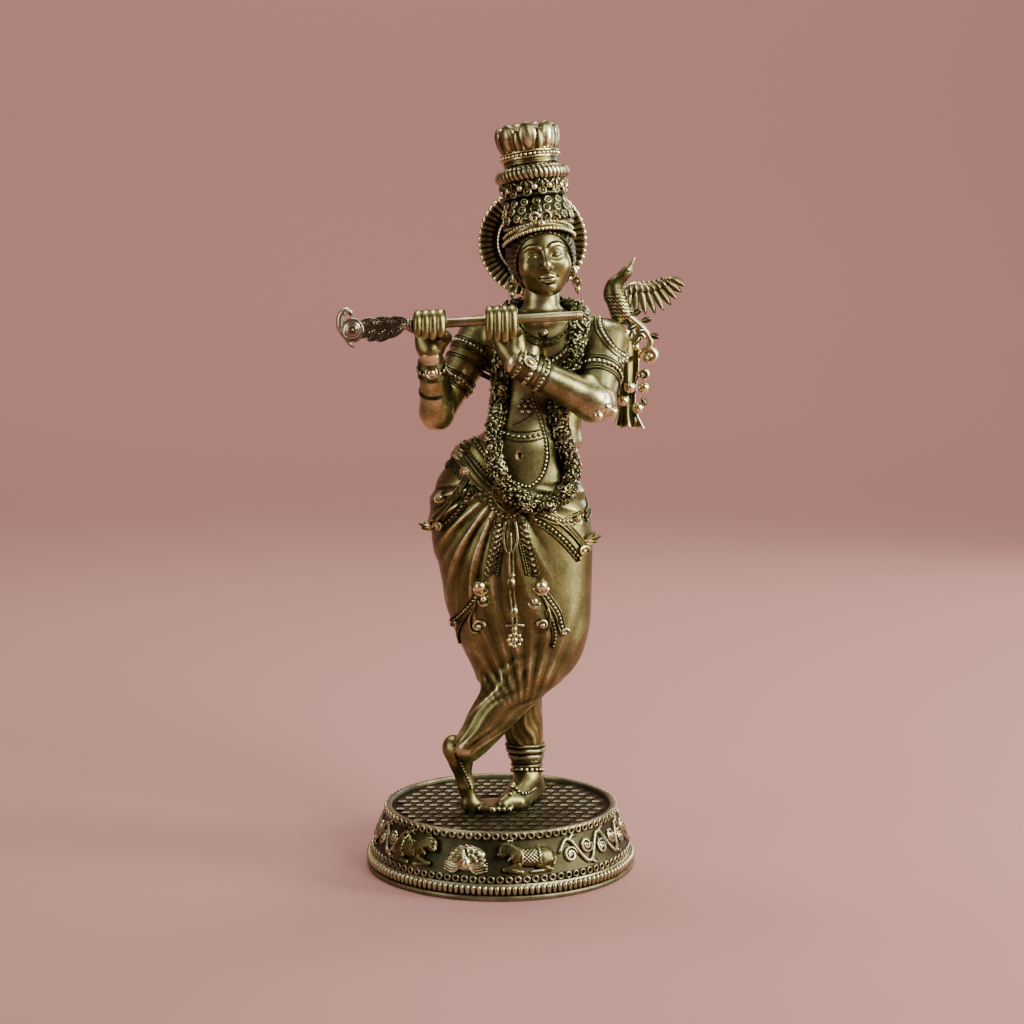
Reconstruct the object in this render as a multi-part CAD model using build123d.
from build123d import *
import math
import os

# A cast-brass figurine of a crossed-leg flute player on a round pedestal. Millimetres, +Z up.
# The origin is the centre of the pedestal's rest rim, and the face looks towards -Y.

# ---------------------------------------------------------------- driving dimensions
# Pedestal
FOOT_RADIUS = 60.5
RIB_SEAT_RADIUS = 59.0
EYELET_SEAT_LOW = 57.8
EYELET_SEAT_HIGH = 51.8
LIP_TOP = 2.4
RIB_TOP = 6.8
FRIEZE_BOTTOM = 10.2
FRIEZE_TOP = 24.2
RIM_TOP = 27.4
DECK_TOP = 26.0
DECK_THICKNESS = 2.0
DECK_RADIUS = 49.5
LEDGE = 2.5
RIB_COUNT = 150
LOW_EYELET_COUNT = 96
HIGH_EYELET_COUNT = 86
RELIEF_TURN = -15.0
SCROLL_COUNT = 31
FIRST_SCROLL = 30.0
SCROLL_PITCH = 9.0

# Fixings under the deck
STUD_RADIUS = 1.5
STUD_HOLE_RADIUS = 1.6
WASHER_RADIUS = 4.0
WASHER_THICKNESS = 0.8
NUT_FLATS = 5.5
NUT_HEIGHT = 2.4
LEFT_STUD = (-13.6, -12.4)
RIGHT_STUD = (8.6, -1.5)
STUD_BOTTOM = 17.5
STUD_TOP = 33.0

# Ellipse sections of the trunk: height, centre x, centre y, half width, half depth
HIP_SECTIONS = [
    (84, 8.0, -4.0, 19.5, 13.5),
    (94, 10.5, -4.0, 25.5, 17.0),
    (104, 9.8, -3.0, 29.6, 19.5),
    (125, 7.6, -1.0, 33.2, 22.0),
    (148, 5.0, 0.0, 36.0, 23.0),
    (170, 3.5, 0.0, 33.0, 22.0),
    (190, 7.4, 0.0, 27.0, 18.0),
]
TORSO_SECTIONS = [
    (190, 11.2, 0.0, 24.0, 15.0),
    (199, 15.5, 0.0, 20.6, 14.0),
    (212, 17.0, 0.0, 20.0, 14.2),
    (226, 17.4, 0.0, 24.0, 15.5),
    (237, 18.0, 1.0, 27.0, 14.5),
    (245, 18.0, 2.0, 20.0, 11.0),
    (249, 18.0, 2.0, 11.0, 8.5),
]

# Joints of the figure
RIGHT_SHOULDER = Vector(-9, 6, 237)
RIGHT_ELBOW = Vector(-28, -5, 203.5)
RIGHT_WRIST = Vector(-30, -21, 229)
LEFT_SHOULDER = Vector(46.5, 1, 234.5)
LEFT_ELBOW = Vector(40.5, -20, 208.5)
LEFT_WRIST = Vector(7, -26, 225.5)
LEFT_KNEE = Vector(13, -8, 91)
LEFT_ANKLE = Vector(-14.4, -17, 56)
RIGHT_KNEE = Vector(5, 4, 90)
RIGHT_ANKLE = Vector(11.5, 8, 46)
RIGHT_HEEL = Vector(14.5, 12, 31)
RIGHT_TOES = Vector(1, -15, 28.6)
HEAD_CENTRE = Vector(18.3, -2, 271.5)
HEAD_HALF_WIDTH = 14.4
HEAD_HALF_HEIGHT = 17.6
HEAD_LEAN = -8.0
HEAD_TURN = 6.0
CROWN_BASE = Vector(16.6, 0, 287)
CROWN_LEAN = -7.5
HALO_CENTRE = Vector(14.2, 12.5, 279.5)
HALO_RADIUS = 23.5
HALO_THICKNESS = 1.6

# Flute: a straight tube that slides through both fists
FLUTE_PLAIN_END = Vector(35, -27, 245.8)
FLUTE_COLLAR = Vector(-37, -27, 241.6)
FLUTE_RADIUS = 2.0
HAND_BORE_RADIUS = 2.08
RIGHT_FIST_X = -30.0
LEFT_FIST_X = 0.6

GARLAND_RADIUS = 4.2
BEAD_LIFT = 0.3
NECKLACE_LIFT = 0.9
SWAG_BEAD_LIFT = 2.8
RIGHT_SWAG = [(-14, 176), (-20, 167), (-26, 158), (-28.5, 150)]
LEFT_SWAG = [(23, 160), (29, 154.5), (34, 147.5), (37, 140)]
ELBOW_BEADS = [Vector(45.5, -26, 206.5), Vector(42, -28, 203), Vector(48.5, -21, 204.5)]
SMALLEST_SOLID = 0.4


# ---------------------------------------------------------------- helpers
def unit(vector):
    return vector.normalized()


def upright(point, direction):
    """A place at a point whose own Z runs along a direction."""
    return Location(Plane(origin=point, z_dir=direction))


def leaning(point, lean, turn=0.0):
    """A place leant about Y and then turned about Z, in degrees."""
    return Location(point) * Location((0, 0, 0), (0, 0, turn)) * Location((0, 0, 0), (0, lean, 0))


def limb(start, end, start_radius, end_radius):
    """A round-ended tapering limb, as one body turned about the line from start to end."""
    length = (end - start).length
    slope = math.asin((start_radius - end_radius) / length)
    start_rim = (start_radius * math.cos(slope), start_radius * math.sin(slope))
    end_rim = (end_radius * math.cos(slope), length + end_radius * math.sin(slope))
    half = math.radians(-90) / 2 + slope / 2
    start_mid = (start_radius * math.cos(half), start_radius * math.sin(half))
    top = math.radians(90) / 2 + slope / 2
    end_mid = (end_radius * math.cos(top), length + end_radius * math.sin(top))
    outline = Curve() + [
        ThreePointArc((0, -start_radius), start_mid, start_rim),
        Line(start_rim, end_rim),
        ThreePointArc(end_rim, end_mid, (0, length + end_radius)),
        Line((0, length + end_radius), (0, -start_radius)),
    ]
    solid = revolve(make_face(Plane.XZ * outline), Axis.Z)
    return upright(start, end - start) * solid


def egg(place, half_width, half_height):
    """A body turned from a half ellipse, at a place."""
    outline = Curve() + [
        EllipticalCenterArc((0, 0), half_width, half_height, -90, arc_size=180),
        Line((0, half_height), (0, -half_height)),
    ]
    solid = revolve(make_face(Plane.XZ * outline), Axis.Z)
    return place * solid


def ball(point, radius):
    return Location(point) * Sphere(radius)


def ring(point, direction, radius, thickness):
    return upright(point, direction) * Torus(radius, thickness)


def trunk(sections, grow=0.0):
    """A smooth body through ellipse sections, optionally grown outwards."""
    faces = []
    for height, x, y, half_width, half_depth in sections:
        faces.append(Location((x, y, height)) * Ellipse(half_width + grow, half_depth + grow))
    return loft(faces)


def section_at(sections, height):
    """The ellipse of a trunk at a height, between its two nearest sections."""
    for low, high in zip(sections, sections[1:]):
        if height <= high[0] or high is sections[-1]:
            share = (height - low[0]) / (high[0] - low[0])
            return [a + (b - a) * share for a, b in zip(low, high)]


def on_front(sections, x, height, lift=0.0):
    """A point on the front of a trunk, lifted off its surface along the level normal."""
    _, middle_x, middle_y, half_width, half_depth = section_at(sections, height)
    across = max(-0.97, min(0.97, (x - middle_x) / half_width))
    forward = math.sqrt(1 - across ** 2)
    normal = unit(Vector(across / half_width, -forward / half_depth, 0))
    surface = Vector(middle_x + across * half_width, middle_y - forward * half_depth, height)
    return surface + normal * lift


def rounded_path(points):
    """Straight runs joined by arcs as large as the runs allow."""
    radii = []
    for before, here, after in zip(points, points[1:], points[2:]):
        turn = math.radians((here - before).get_angle(after - here))
        shorter = min((here - before).length, (after - here).length)
        radii.append(0.45 * shorter / math.tan(max(turn, 0.02) / 2))
    return FilletPolyline(*points, radius=radii)


def tube(points, radius):
    path = rounded_path(points)
    section = Plane(origin=path @ 0, z_dir=path % 0) * Circle(radius)
    return sweep(section, path=path)


def bead_circle(centre, direction, circle_radius, radius):
    """A ring of beads about a limb, each its own solid."""
    count = int(math.pi / math.asin(1.03 * radius / circle_radius))
    place = upright(centre, direction)
    return [place * spot * Sphere(radius).solid() for spot in PolarLocations(circle_radius, count)]


def bead_string(points, radius):
    """A row of beads along a rounded path, each its own solid."""
    path = rounded_path(points)
    count = max(2, int(path.length / (2.06 * radius)))
    spots = [path.position_at(path.length * i / count, PositionMode.LENGTH) for i in range(count + 1)]
    return Compound([ball(spot, radius).solid() for spot in spots])


def apart(a, b):
    """True when two boxes don't meet."""
    gaps = [max(a.min.X - b.max.X, b.min.X - a.max.X), max(a.min.Y - b.max.Y, b.min.Y - a.max.Y)]
    return max(*gaps, a.min.Z - b.max.Z, b.min.Z - a.max.Z) > 0


def seated(piece, *neighbours):
    """Cut a piece back to its neighbours, so that they meet face to face."""
    left = list(piece.solids())
    for neighbour in neighbours:
        for other in neighbour.solids():
            box = other.bounding_box(optimal=False)
            cut = []
            for solid in left:
                clear = apart(solid.bounding_box(optimal=False), box)
                cut += [solid] if clear else (solid - other).solids()
            left = cut
    kept = [solid for solid in left if solid.volume > SMALLEST_SOLID]
    return kept[0] if len(kept) == 1 else Compound(kept)


def largest(shape):
    return max(shape.solids(), key=lambda solid: solid.volume)


def around(point, direction, arm_radius, thickness, count=1, pitch=0.0):
    """Round bands side by side about a limb."""
    step = unit(direction) * pitch
    first = -(count - 1) / 2
    bands = [ring(point + step * (first + i), direction, arm_radius, thickness) for i in range(count)]
    return bands[0] if count == 1 else bands[0].fuse(*bands[1:])


# ---------------------------------------------------------------- pedestal
def pedestal_shell():
    outer = Polyline(
        (FOOT_RADIUS, 0), (FOOT_RADIUS, LIP_TOP - 0.4), (RIB_SEAT_RADIUS, LIP_TOP),
        (RIB_SEAT_RADIUS, RIB_TOP), (EYELET_SEAT_LOW, RIB_TOP + 0.4), (EYELET_SEAT_LOW, FRIEZE_BOTTOM),
    )
    wall = ThreePointArc((EYELET_SEAT_LOW, FRIEZE_BOTTOM), (53.9, 17.0), (EYELET_SEAT_HIGH, FRIEZE_TOP))
    inner = Polyline(
        (EYELET_SEAT_HIGH, FRIEZE_TOP), (EYELET_SEAT_HIGH, RIM_TOP), (DECK_RADIUS, RIM_TOP),
        (DECK_RADIUS, DECK_TOP - DECK_THICKNESS), (DECK_RADIUS - LEDGE, DECK_TOP - DECK_THICKNESS),
        (DECK_RADIUS - LEDGE, 21.5), (50.6, 17.5), (54.6, FRIEZE_BOTTOM), (55.6, RIB_TOP), (57.0, 2.0),
        (57.0, 0), (FOOT_RADIUS, 0),
    )
    return revolve(make_face(Plane.XZ * (Curve() + [outer, wall, inner])), Axis.Z)


def deck_plate():
    plate = Location((0, 0, DECK_TOP - DECK_THICKNESS / 2)) * Cylinder(DECK_RADIUS, DECK_THICKNESS)
    for spot in (LEFT_STUD, RIGHT_STUD):
        plate = plate - Location((*spot, DECK_TOP)) * Cylinder(STUD_HOLE_RADIUS, 4 * DECK_THICKNESS)
    return plate


def rib_ring():
    band = Circle(RIB_SEAT_RADIUS + 0.5) + PolarLocations(RIB_SEAT_RADIUS + 0.5, RIB_COUNT) * Circle(0.8)
    band = band - Circle(RIB_SEAT_RADIUS)
    return Location((0, 0, LIP_TOP)) * extrude(band, RIB_TOP - LIP_TOP)


def eyelet_course(seat_radius, height, count):
    """Small upright rings side by side on a round wall, as separate solids."""
    eyelet = Circle(1.5) - Circle(0.75)
    outward = Plane(origin=(seat_radius - 1, 0, height), z_dir=(1, 0, 0))
    one = extrude(outward * eyelet, 1.9) - Location((0, 0, height)) * Cylinder(seat_radius, 8)
    return Compound([Location((0, 0, 0), (0, 0, 360 * i / count)) * one.solid() for i in range(count)])


def wall_place(turn, height):
    """A place on the frieze, its Z outwards and its Y up the wall; 0 is the front."""
    share = (height - FRIEZE_BOTTOM) / (FRIEZE_TOP - FRIEZE_BOTTOM)
    radius = EYELET_SEAT_LOW + (EYELET_SEAT_HIGH - EYELET_SEAT_LOW) * share - 0.9
    facing = math.radians(turn - 90)
    outwards = Vector(math.cos(facing), math.sin(facing), 0.4)
    sideways = Vector(-math.sin(facing), math.cos(facing), 0)
    spot = Vector(radius * math.cos(facing), radius * math.sin(facing), height)
    return Location(Plane(origin=spot, x_dir=sideways, z_dir=outwards))


def cow_relief(turn, look):
    """A seated cow on the frieze; look is +1 when the head is on the anticlockwise side."""
    trunk_part = limb(Vector(-7.6 * look, 0.2, 0.6), Vector(3.6 * look, 0.6, 0.8), 3.7, 3.4)
    neck = limb(Vector(4.4 * look, 2.2, 1.0), Vector(8.2 * look, 4.4, 1.6), 2.6, 2.1)
    face = limb(Vector(8.5 * look, 4.0, 1.7), Vector(10.6 * look, 1.4, 1.8), 1.8, 1.1)
    foreleg = limb(Vector(3.4 * look, -3.6, 1.2), Vector(9.0 * look, -4.4, 1.0), 1.2, 0.8)
    hindleg = limb(Vector(-8.2 * look, -3.2, 1.2), Vector(-1.0 * look, -4.5, 1.0), 1.5, 0.8)
    return wall_place(turn, 16.4) * trunk_part.fuse(neck, face, foreleg, hindleg)


def peacock_relief():
    """A peacock with its tail spread: a scalloped fan behind a round body."""
    fan = Ellipse(8.4, 5.2)
    for i in range(15):
        turn = math.radians(-34 + 17.6 * i)
        fan += Location((8.7 * math.cos(turn), 5.4 * math.sin(turn), 0)) * Circle(1.3)
    body = limb(Vector(0, -3.4, 1.6), Vector(-1.0, 4.0, 2.2), 2.2, 1.1)
    return wall_place(RELIEF_TURN, 16.6) * body.fuse(extrude(fan, 1.7))


def frieze_scrolls():
    """Curled scrolls that fill the frieze at the sides and back, as separate rings."""
    scrolls = []
    for i in range(SCROLL_COUNT):
        place = wall_place(FIRST_SCROLL + SCROLL_PITCH * i, 20.2 if i % 2 else 13.8)
        scrolls.append(place * Location((0, 0, 0.9)) * Torus(2.6, 0.75))
    return scrolls[0].fuse(*scrolls[1:])


def studs():
    pieces = []
    for spot in (LEFT_STUD, RIGHT_STUD):
        middle = (STUD_BOTTOM + STUD_TOP) / 2
        pieces.append(Location((*spot, middle)) * Cylinder(STUD_RADIUS, STUD_TOP - STUD_BOTTOM))
    return Compound([piece.solid() for piece in pieces])


def washers():
    top = DECK_TOP - DECK_THICKNESS
    flat = Circle(WASHER_RADIUS) - Circle(STUD_HOLE_RADIUS)
    places = [Location((*spot, top - WASHER_THICKNESS)) for spot in (LEFT_STUD, RIGHT_STUD)]
    return Compound([place * extrude(flat, WASHER_THICKNESS).solid() for place in places])


def nuts():
    top = DECK_TOP - DECK_THICKNESS - WASHER_THICKNESS
    flat = RegularPolygon(NUT_FLATS / 2, 6, major_radius=False) - Circle(STUD_RADIUS)
    places = [Location((*spot, top - NUT_HEIGHT)) for spot in (LEFT_STUD, RIGHT_STUD)]
    return Compound([place * extrude(flat, NUT_HEIGHT).solid() for place in places])


# ---------------------------------------------------------------- figure
def left_foot_raw():
    """The crossing foot, on tiptoe: heel up, toes down on the deck."""
    heel = Vector(-20.5, -13.5, 56.0)
    ball_of_foot = Vector(-14.8, -12.0, 35.0)
    foot = limb(heel, ball_of_foot, 5.0, 3.9)
    bridge = limb(LEFT_ANKLE + Vector(0, 0, -3), ball_of_foot, 5.6, 3.8)
    toes = limb(Vector(-16.0, -12.2, 30.0), Vector(-10.0, -12.0, 28.4), 3.4, 2.6)
    return foot.fuse(bridge, toes)


def right_foot_raw():
    """The standing foot, flat on the deck."""
    shank = limb(RIGHT_ANKLE, Vector(12.0, 8.0, 34.0), 7.2, 6.4)
    sole = limb(RIGHT_HEEL, RIGHT_TOES, 6.2, 4.6)
    instep = limb(Vector(12.0, 6.0, 35.0), RIGHT_TOES + Vector(0, 1, 0), 5.6, 3.8)
    return shank.fuse(sole, instep)


def above_deck(piece):
    return piece - Location((0, 0, DECK_TOP - 20)) * Cylinder(DECK_RADIUS, 40)


def ankle_cuffs():
    axis = RIGHT_ANKLE - RIGHT_KNEE
    return around(RIGHT_ANKLE + Vector(0, 0, 0.5), axis, 7.6, 1.5, count=3, pitch=2.6)


def head_place():
    return leaning(HEAD_CENTRE, HEAD_LEAN, HEAD_TURN)


def head_raw():
    skull = egg(head_place(), HEAD_HALF_WIDTH, HEAD_HALF_HEIGHT)
    neck = limb(Vector(18, 0, 247), Vector(18.2, -1, 262), 8.6, 7.6)
    nose = head_place() * limb(Vector(0, -13.2, 2), Vector(0, -14.6, -3.2), 1.1, 1.7)
    ears = [head_place() * limb(Vector(s * 13.8, 0, 1), Vector(s * 13.6, 0, -5), 2.0, 1.4) for s in (-1, 1)]
    return skull.fuse(neck, nose, *ears)


def hair_raw():
    place = head_place() * Location((0, 2.0, 1.0))
    cap = egg(place, HEAD_HALF_WIDTH + 1.7, HEAD_HALF_HEIGHT + 1.2)
    knot = head_place() * Location((0, 13.0, -7.0)) * Sphere(8.0)
    face_side = head_place() * Location((0, -22.0, -6.0)) * Box(60, 30, 34)
    return cap.fuse(knot) - face_side


def tiara_raw():
    band = leaning(HEAD_CENTRE, HEAD_LEAN - 1, HEAD_TURN) * Location((0, -0.4, 11.8)) * Torus(13.4, 1.5)
    crest = head_place() * limb(Vector(0, -12.2, 13), Vector(0, -10.6, 20.5), 3.2, 1.4)
    return band.fuse(crest)


def crown_place(height):
    return leaning(CROWN_BASE, CROWN_LEAN) * Location((0, 0, height))


def crown_cap_raw():
    profile = Polyline(
        (0, -6), (15.0, -6), (15.6, 0), (14.6, 9), (12.4, 13), (9.0, 16), (9.0, 26), (0, 26), (0, -6)
    )
    return crown_place(0) * revolve(make_face(Plane.XZ * profile), Axis.Z)


def crown_lotus():
    profile = Polyline(
        (0, 26), (12.0, 26), (12.6, 28), (12.6, 30.4), (14.9, 36.5), (14.4, 40), (11.5, 43), (7.0, 44),
        (0, 44), (0, 26),
    )
    return crown_place(0) * revolve(make_face(Plane.XZ * profile), Axis.Z)


def halo_raw():
    disc = Circle(HALO_RADIUS) + PolarLocations(HALO_RADIUS, 40) * Circle(1.1)
    plate = extrude(disc, HALO_THICKNESS / 2, both=True)
    boss = Cylinder(11.0, HALO_THICKNESS + 1.6)
    return Location(Plane(origin=HALO_CENTRE, z_dir=(0.1, -1, 0.02))) * plate.fuse(boss)


def halo_screw_raw():
    shank = Cylinder(1.5, 14, align=(Align.CENTER, Align.CENTER, Align.MIN))
    button = Location((0, 0, 11.8)) * Cylinder(3.2, 2.2)
    backwards = Plane(origin=HALO_CENTRE + Vector(0, -9, 0), z_dir=(-0.1, 1, -0.02))
    return Location(backwards) * shank.fuse(button)


def earring(across, down):
    place = head_place() * Location((across, -2.0, down))
    return place * Sphere(2.3).fuse(Location((0, 0, -3.6)) * Sphere(1.6))


def flute_axis():
    return unit(FLUTE_COLLAR - FLUTE_PLAIN_END)


def on_flute(x):
    """The point of the flute's axis at a place along X."""
    axis = flute_axis()
    return FLUTE_PLAIN_END + axis * ((x - FLUTE_PLAIN_END.X) / axis.X)


def fist_raw(wrist, middle_x, side):
    """A palm behind the flute, four fingers curled over it and a thumb below; side is the thumb's side."""
    centre = on_flute(middle_x)
    palm = limb(wrist, centre + Vector(0, 5.6, -2.5), 5.0, 5.6)
    fingers = [ring(on_flute(centre.X + (i - 1.5) * 3.3), flute_axis(), 4.0, 1.8) for i in range(4)]
    thumb = limb(wrist + Vector(side * 3, -1, 5), centre + Vector(side * 6.6, 0.4, -3.9), 2.4, 1.8)
    return palm.fuse(thumb, *fingers)


def flute_bore():
    return limb(on_flute(-60), on_flute(60), HAND_BORE_RADIUS, HAND_BORE_RADIUS - 0.0001)


def flute_tube():
    length = (FLUTE_COLLAR - FLUTE_PLAIN_END).length
    outer = Cylinder(FLUTE_RADIUS, length, align=(Align.CENTER, Align.CENTER, Align.MIN))
    bore = Cylinder(1.1, 30, align=(Align.CENTER, Align.CENTER, Align.MIN))
    return upright(FLUTE_PLAIN_END, flute_axis()) * (outer - bore)


def flute_finial():
    """A collar, three leaf feathers, a round eye and a curled bird's head, as one casting."""
    start = FLUTE_COLLAR
    along = flute_axis()
    collar = upright(start, along) * Cylinder(3.2, 1.6, align=(Align.CENTER, Align.CENTER, Align.MIN))
    stem = limb(start + along * 1.6, start + along * 24, 2.6, 2.4)
    spray = Ellipse(1.0, 1.0)
    for i in range(4):
        for side in (-1, 1):
            spray += Location((4.5 + 4.6 * i, side * 3.0, 0), (0, 0, side * 40)) * Ellipse(4.2, 1.9)
    side_face = Plane(origin=start, x_dir=along, z_dir=(0, -1, 0))
    leaves = Location(side_face) * extrude(spray, 1.4, both=True)
    eye = Location(Plane(origin=start + along * 26.5, z_dir=(0, -1, 0))) * Cylinder(4.6, 3.4)
    neck = limb(start + along * 29, start + along * 30 + Vector(0, 0, 8.5), 2.0, 1.5)
    beak = limb(start + along * 30 + Vector(0, 0, 8.5), start + along * 26.5 + Vector(0, 0, 8.2), 1.9, 0.7)
    return collar.fuse(stem, eye, neck, beak, leaves)


# ---------------------------------------------------------------- trim
def garland_route():
    """Round the neck, down the front to a loop below the waist, and back up."""
    lift = 1.6
    front = [
        on_front(TORSO_SECTIONS, 34.5, 239, lift), on_front(TORSO_SECTIONS, 30.5, 227, lift),
        on_front(TORSO_SECTIONS, 25, 213, lift), on_front(TORSO_SECTIONS, 23.5, 201, lift + 1),
        on_front(TORSO_SECTIONS, 27, 190, lift + 3), on_front(HIP_SECTIONS, 30.4, 173, lift + 1),
        on_front(HIP_SECTIONS, 25, 164, lift), on_front(HIP_SECTIONS, 14, 162, lift),
        on_front(HIP_SECTIONS, 4, 169, lift), on_front(HIP_SECTIONS, -1.6, 180, lift + 1),
        on_front(TORSO_SECTIONS, -1.2, 193, lift + 3), on_front(TORSO_SECTIONS, 1.2, 206, lift),
        on_front(TORSO_SECTIONS, 0.6, 220, lift), on_front(TORSO_SECTIONS, 1.8, 234, lift),
    ]
    nape = [Vector(4, 8, 247.5), Vector(12, 13.5, 249), Vector(24, 13.5, 249), Vector(33, 7, 247.5)]
    return [Vector(36, -4, 246)] + front + [Vector(2, -5, 245.5)] + nape


def collar_string(width, drop, radius):
    """A string of beads that hangs round the neck in front."""
    points = []
    for i in range(7):
        turn = math.radians(-66 + 22 * i)
        x = 18 + width * math.sin(turn)
        height = 246 - drop * math.cos(turn)
        points.append(on_front(TORSO_SECTIONS, x, height, radius + NECKLACE_LIFT))
    return bead_string(points, radius)


def epaulette(shoulder, elbow, arm_radius):
    axis = elbow - shoulder
    return around(shoulder + unit(axis) * 3.5, axis, arm_radius, 1.2, count=2, pitch=2.0)


def waist_belt_raw():
    """A belt slung low in front, cut from a grown copy of the hips by a tilted slab."""
    slab = Location(Plane(origin=(5, 0, 176), z_dir=(0.1, -0.6, 1))) * Box(120, 120, 12)
    return trunk(HIP_SECTIONS, grow=1.5) & slab


def hip_swag(points):
    """A rolled hem across the hip."""
    return tube([on_front(HIP_SECTIONS, x, z, 0.6) for x, z in points], 1.9)


def swag_beads(points):
    lower = [on_front(HIP_SECTIONS, x, z - 7.5, SWAG_BEAD_LIFT) for x, z in points]
    return bead_string(lower, 1.2)


def front_pendant_raw():
    drop = [on_front(HIP_SECTIONS, 4.4 + 0.02 * (158 - z), z, 1.2) for z in (157, 147, 130, 119, 108)]
    stem = limb(drop[0], drop[1], 2.2, 2.6)
    cord = limb(drop[1], drop[3], 1.3, 1.4)
    tassel = limb(drop[3], drop[4], 2.4, 4.2)
    return stem.fuse(cord, ball(drop[2], 3.2), tassel)


def paisley(side):
    """A curled scroll low on the front; side is -1 for the viewer's left."""
    middle = 4.0
    shape = [(18, 122), (22, 114), (25.5, 107), (19, 103), (14.5, 108)]
    points = [on_front(HIP_SECTIONS, middle + side * x, z, 0.4) for x, z in shape]
    return tube(points, 1.7)


def shoulder_peacock_raw():
    body = limb(Vector(53.4, 3.6, 249.5), Vector(50.5, 3, 256), 5.7, 4.6)
    neck = limb(Vector(50.5, 2.8, 255), Vector(55.8, 2.5, 265), 3.4, 2.7)
    beak = limb(Vector(55.6, 2.4, 264.6), Vector(60.2, 2.2, 272.4), 2.1, 0.6)
    return body.fuse(neck, beak)


def peacock_wing_raw():
    outline = Polyline(
        (54, 252), (55, 259), (62, 260.5), (71, 260), (82.3, 265), (78, 257.5), (72, 251.5), (63, 246.5),
        (57, 246.5), (54, 252),
    )
    return Location((0, 6.0, 0)) * extrude(make_face(Plane.XZ * outline), 3.0)


def peacock_tail_raw():
    """The peacock's tail: a rolled chain that hangs in front of the shawl's end."""
    route = [
        Vector(62.5, 3, 241.5), Vector(66.5, 3, 237.5), Vector(67.5, 3, 231), Vector(63.5, 3, 225),
        Vector(65.5, 3, 216), Vector(62.5, 3, 207), Vector(60.5, 3, 199),
    ]
    return tube(route, 3.3)


def shawl_raw():
    """The hanging end of the shawl behind the arm, flared at its hem."""
    outline = Polyline(
        (46, 238), (57, 243), (62, 238), (65, 228), (62.5, 214), (61.5, 203), (64.2, 196.4),
        (51.6, 197.8), (49.5, 212), (46, 222), (46, 238),
    )
    return Location((0, 11.5, 0)) * extrude(make_face(Plane.XZ * outline), 4.5)


# ---------------------------------------------------------------- assembly, from the deck upwards
parts = {}
parts["pedestal_shell"] = pedestal_shell()
parts["deck_plate"] = deck_plate()
parts["foot_rib_ring"] = rib_ring()
parts["lower_eyelet_course"] = eyelet_course(EYELET_SEAT_LOW, 8.7, LOW_EYELET_COUNT)
parts["upper_eyelet_course"] = eyelet_course(EYELET_SEAT_HIGH, 25.7, HIGH_EYELET_COUNT)
shell = parts["pedestal_shell"]
parts["peacock_relief"] = seated(peacock_relief(), shell)
cows = [largest(seated(cow_relief(RELIEF_TURN - 27 * look, look), shell)) for look in (-1, 1)]
parts["cow_reliefs"] = Compound(cows)
parts["frieze_scrolls"] = seated(frieze_scrolls(), shell)
parts["foot_studs"] = studs()
parts["foot_washers"] = washers()
parts["foot_nuts"] = nuts()

hips = trunk(HIP_SECTIONS)
torso = trunk(TORSO_SECTIONS)
waist_dowel = Location((10, 1, 190)) * Cylinder(4, 24)
neck_dowel = Location((18, 1, 249)) * Cylinder(3, 18)
parts["waist_dowel"] = waist_dowel
parts["neck_dowel"] = neck_dowel
parts["hips_dhoti"] = seated(hips, waist_dowel)
parts["torso"] = seated(torso, waist_dowel, neck_dowel)
left_shin = limb(LEFT_KNEE, LEFT_ANKLE, 14.0, 6.8)
right_shin = limb(RIGHT_KNEE, RIGHT_ANKLE + Vector(0, 0, 5), 13, 8.0)
parts["left_shin_drape"] = seated(left_shin, hips)
parts["right_shin_drape"] = seated(right_shin, hips, left_shin)
foot_neighbours = (parts["foot_studs"], left_shin, right_shin)
left_foot = seated(above_deck(left_foot_raw()), *foot_neighbours)
right_foot = seated(above_deck(right_foot_raw()), *foot_neighbours, left_foot)
parts["left_foot"] = left_foot
parts["right_foot"] = right_foot
parts["ankle_cuffs"] = seated(ankle_cuffs(), right_shin, right_foot, left_shin)
left_anklet = bead_circle(Vector(-16.8, -14.5, 48), Vector(0, 0.1, 1), 9.2, 1.1)
right_anklet = bead_circle(Vector(11.7, 7.9, 39.2), Vector(0, 0, 1), 9.6, 1.1)
parts["anklets"] = Compound([*left_anklet, *right_anklet])

head = seated(head_raw(), torso, neck_dowel)
hair = largest(seated(hair_raw(), head, torso))
halo_screw = halo_screw_raw()
crown_cap = seated(crown_cap_raw(), head, hair, halo_screw)
tiara = seated(tiara_raw(), head, hair, crown_cap)
crown_ring = seated(crown_place(20.6) * Torus(12.4, 3.5), crown_cap)
crown_collar = seated(crown_place(14.8) * Torus(12.0, 2.0), crown_cap, crown_ring)
lotus = seated(crown_lotus(), crown_ring)
halo = seated(halo_raw(), head, crown_cap, crown_collar, tiara, halo_screw)
parts["head"] = seated(head, halo_screw)
parts["hair"] = seated(hair, halo, halo_screw)
parts["crown_cap"] = crown_cap
parts["crown_collar"] = crown_collar
parts["crown_ring"] = crown_ring
parts["crown_lotus"] = lotus
parts["tiara"] = tiara
parts["halo"] = halo
parts["halo_screw"] = halo_screw
earrings = [seated(earring(*spot), head, hair, torso, halo) for spot in ((-15.6, -10.6), (13.6, -12.4))]
parts["earrings"] = Compound(earrings)

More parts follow.
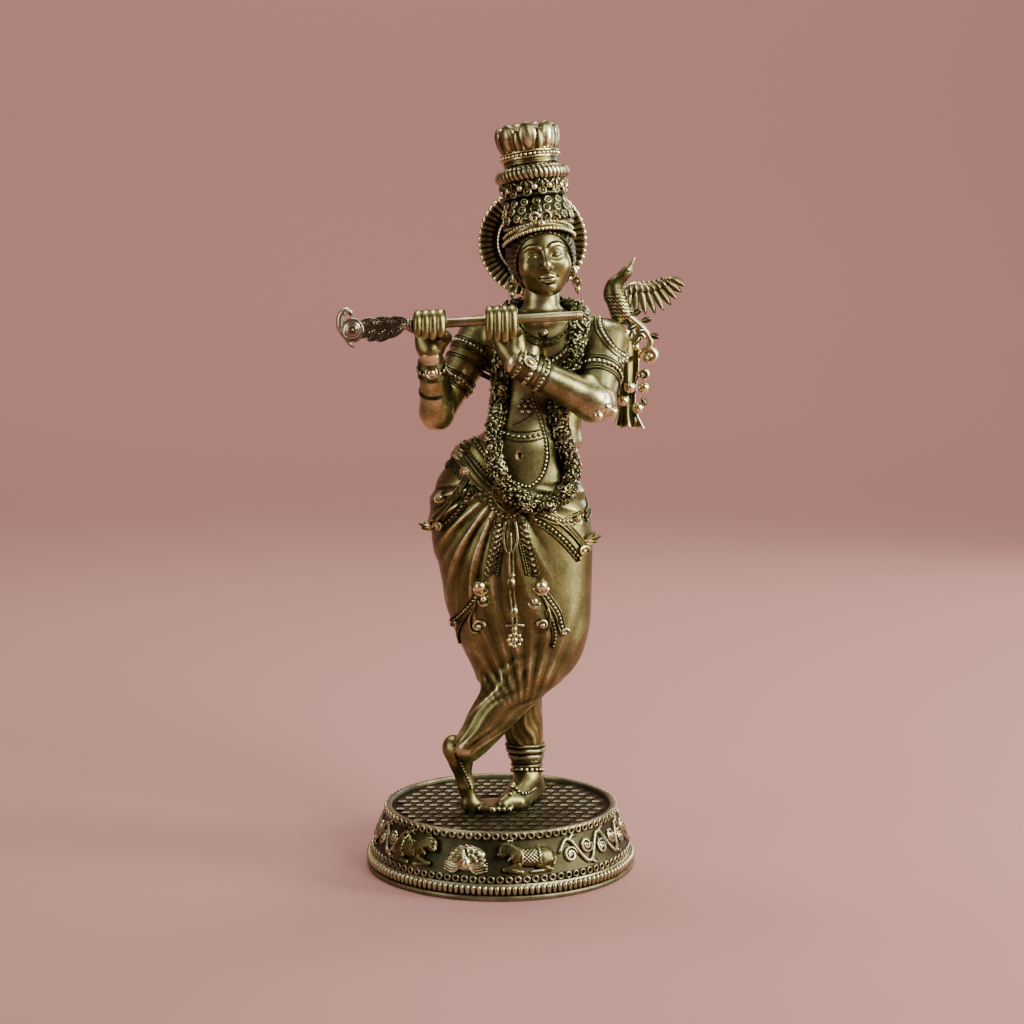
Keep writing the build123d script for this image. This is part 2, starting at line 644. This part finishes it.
right_upper = seated(limb(RIGHT_SHOULDER, RIGHT_ELBOW, 10.0, 7.2), torso)
right_fore = seated(limb(RIGHT_ELBOW, RIGHT_WRIST, 7.4, 5.0), right_upper)
left_upper = seated(limb(LEFT_SHOULDER, LEFT_ELBOW, 10.8, 8.4), torso)
left_fore = seated(limb(LEFT_ELBOW, LEFT_WRIST, 8.6, 5.4), torso, left_upper)
bore = flute_bore()
right_hand = seated(fist_raw(RIGHT_WRIST, RIGHT_FIST_X, 1), right_fore, bore)
left_hand = seated(fist_raw(LEFT_WRIST, LEFT_FIST_X, 1), left_fore, torso, bore)
parts["right_upper_arm"] = right_upper
parts["right_forearm"] = right_fore
parts["right_hand"] = right_hand
parts["left_upper_arm"] = left_upper
parts["left_forearm"] = left_fore
parts["left_hand"] = left_hand
arms = (right_upper, right_fore, right_hand, left_upper, left_fore, left_hand)

garland = seated(tube(garland_route(), GARLAND_RADIUS), torso, hips, head, hair, *arms, *earrings)
parts["garland"] = garland
right_axis = RIGHT_ELBOW - RIGHT_SHOULDER
left_axis = LEFT_ELBOW - LEFT_SHOULDER
armlet_right = around(RIGHT_SHOULDER + right_axis * 0.62, right_axis, 8.4, 1.5, count=3, pitch=2.4)
armlet_left = around(LEFT_SHOULDER + left_axis * 0.62, left_axis, 9.2, 1.5, count=3, pitch=2.4)
fore_right = RIGHT_WRIST - RIGHT_ELBOW
fore_left = LEFT_WRIST - LEFT_ELBOW
bangle_right = around(RIGHT_ELBOW + fore_right * 0.72, fore_right, 5.8, 1.3, count=3, pitch=2.3)
bangle_left = around(LEFT_ELBOW + fore_left * 0.84, fore_left, 6.0, 1.4, count=4, pitch=2.4)
hip_skin = (hips, garland)
armlet_right = seated(armlet_right, right_upper, right_fore, torso)
armlet_left = seated(armlet_left, left_upper, left_fore, torso, garland)
bangle_right = seated(bangle_right, right_fore, right_hand)
bangle_left = seated(bangle_left, left_fore, left_hand, torso, garland)
parts["bracelets"] = Compound([*bangle_right.solids(), *bangle_left.solids()])
elbow_beads = Compound([ball(spot, 2.6).solid() for spot in ELBOW_BEADS])
parts["elbow_beads"] = seated(elbow_beads, left_upper, left_fore, armlet_left)

collar = collar_string(9.5, 8, 1.3)
chest_string = collar_string(10, 15, 1.5)
parts["necklaces"] = Compound([*collar.solids(), *chest_string.solids()])
cap_right = seated(epaulette(RIGHT_SHOULDER, RIGHT_ELBOW, 9.6), right_upper, torso)
cap_left = seated(epaulette(LEFT_SHOULDER, LEFT_ELBOW, 10.6), left_upper, torso, garland)
small_lift = 1.1 + BEAD_LIFT
thread_spots = [(15, 207), (17, 200), (17.5, 193.5)]
thread_high = [on_front(TORSO_SECTIONS, x, z, small_lift) for x, z in thread_spots]
thread_spots = [(16.5, 185), (14, 178), (11, 174)]
thread_low = [on_front(HIP_SECTIONS, x, z, small_lift + 1.6) for x, z in thread_spots]
parts["sacred_thread"] = bead_string(thread_high + thread_low, 1.1)
belly_spots = [(4.8, 196.5), (8, 194.6), (11.4, 194.2), (14.2, 195)]
parts["belly_chain"] = bead_string([on_front(TORSO_SECTIONS, x, z, small_lift) for x, z in belly_spots], 1.1)
flower_centre = on_front(TORSO_SECTIONS, 10, 206.5, 1.2 + BEAD_LIFT)
petal_turns = [math.radians(60 * i) for i in range(6)]
petals = [Vector(2.6 * math.cos(turn), 0, 2.6 * math.sin(turn)) for turn in petal_turns]
flower = [ball(flower_centre + spot, 1.2).solid() for spot in [Vector(0, 0, 0), *petals]]
parts["chest_flower"] = Compound(flower)

belt = seated(waist_belt_raw(), torso, garland, hips)
parts["waist_belt"] = belt
right_swag = seated(hip_swag(RIGHT_SWAG), belt, *hip_skin)
left_swag = seated(hip_swag(LEFT_SWAG), belt, *hip_skin)
right_point = seated(limb(Vector(-30, -6, 152.5), Vector(-36.2, -7, 154.8), 2.6, 0.8), hips, right_swag)
left_point = seated(limb(Vector(38, -6, 147.5), Vector(44.4, -7, 149.5), 2.8, 0.8), hips, left_swag)
hem_beads = (swag_beads(RIGHT_SWAG[1:]), swag_beads(LEFT_SWAG[1:]))
swag_trim = (right_swag, left_swag, right_point, left_point, *hem_beads)
parts["hip_swags"] = Compound([solid for piece in swag_trim for solid in piece.solids()])
loop_spots = [(-3.6, 173), (-3.4, 163), (2.6, 158.5), (9, 163.5)]
loop = seated(tube([on_front(HIP_SECTIONS, x, z, 1.2) for x, z in loop_spots], 1.5), belt, *hip_skin)
parts["waist_loop"] = loop
pendant = seated(front_pendant_raw(), belt, loop, *hip_skin)
parts["front_pendant"] = pendant
chains = []
for top, low in ((-0.8, -5.2), (10.6, 15.2)):
    run = [top + (low - top) * i / 2 for i in range(3)]
    spots = [on_front(HIP_SECTIONS, x, 150 - 8 * i, 1.7 + BEAD_LIFT) for i, x in enumerate(run)]
    chains += bead_string(spots, 1.7).solids()
parts["bead_chains"] = Compound(chains)
boss_spots = [(-8.0, 128.4), (-6.4, 121.4), (17.6, 128.8), (14.2, 120.8)]
bosses = [ball(on_front(HIP_SECTIONS, x, z, 3.3), 2.9).solid() for x, z in boss_spots]
parts["pendant_bosses"] = Compound(bosses)
scrolls = [seated(paisley(side), left_shin, hips) for side in (-1, 1)]
parts["paisley_scrolls"] = Compound([solid for scroll in scrolls for solid in scroll.solids()])

peacock = shoulder_peacock_raw()
wing = seated(peacock_wing_raw(), peacock, left_upper)
shawl = seated(shawl_raw(), left_upper, torso)
tail = peacock_tail_raw()
parts["shoulder_peacock"] = peacock
parts["peacock_wing"] = wing
parts["shawl_end"] = shawl
parts["peacock_tail"] = tail
cap_left = seated(cap_left, peacock, shawl)
parts["epaulettes"] = Compound([*cap_right.solids(), *cap_left.solids()])
armlet_left = seated(armlet_left, peacock, shawl)
parts["armlets"] = Compound([*armlet_right.solids(), *armlet_left.solids()])

parts["flute_tube"] = flute_tube()
parts["flute_finial"] = seated(flute_finial(), parts["flute_tube"])

os.makedirs("parts", exist_ok=True)
for name, shape in parts.items():
    export_step(shape, f"parts/{name}.step")
